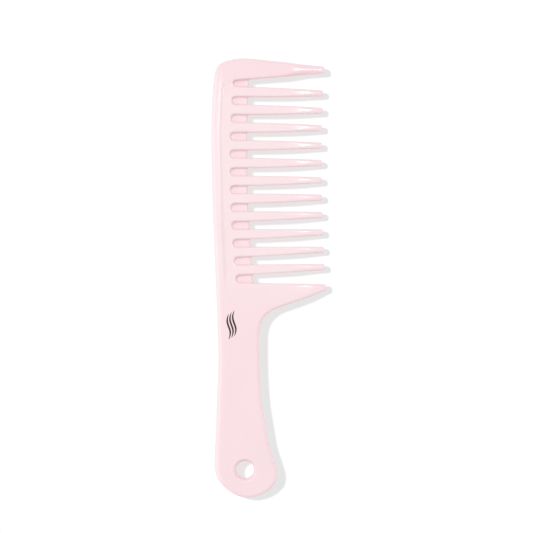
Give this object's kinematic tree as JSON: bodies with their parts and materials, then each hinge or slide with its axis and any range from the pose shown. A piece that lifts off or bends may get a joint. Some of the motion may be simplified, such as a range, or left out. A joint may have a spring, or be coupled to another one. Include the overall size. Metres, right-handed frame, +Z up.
{
  "type": "wide tooth comb",
  "caption": "Wide tooth hair comb in glossy plastic, with tapered teeth between broad guard teeth, a rounded back rail and a flat handle that ends in a hanging hole.",
  "frame": {"origin": "on the surface that the comb lies on, under the middle of its outline's bounding box", "axes": "+X from the back edge towards the tooth tips, +Y from the handle's end towards the crown, +Z up through the comb's thickness"},
  "size_m": [0.063, 0.2391, 0.007],
  "materials": {
    "comb_plastic": "glossy opaque pale pink moulded plastic",
    "print_ink": "thin dark pad-printed ink"
  },
  "bodies": {
    "root": {"spine": "comb_plastic", "handle": "comb_plastic", "crown_guard_tooth": "comb_plastic", "tooth_02": "comb_plastic", "tooth_03": "comb_plastic", "tooth_04": "comb_plastic", "tooth_05": "comb_plastic", "tooth_06": "comb_plastic", "tooth_07": "comb_plastic", "tooth_08": "comb_plastic", "tooth_09": "comb_plastic", "tooth_10": "comb_plastic", "tooth_11": "comb_plastic", "tooth_12": "comb_plastic", "heel_guard_tooth": "comb_plastic"}
  },
  "joints": []
}
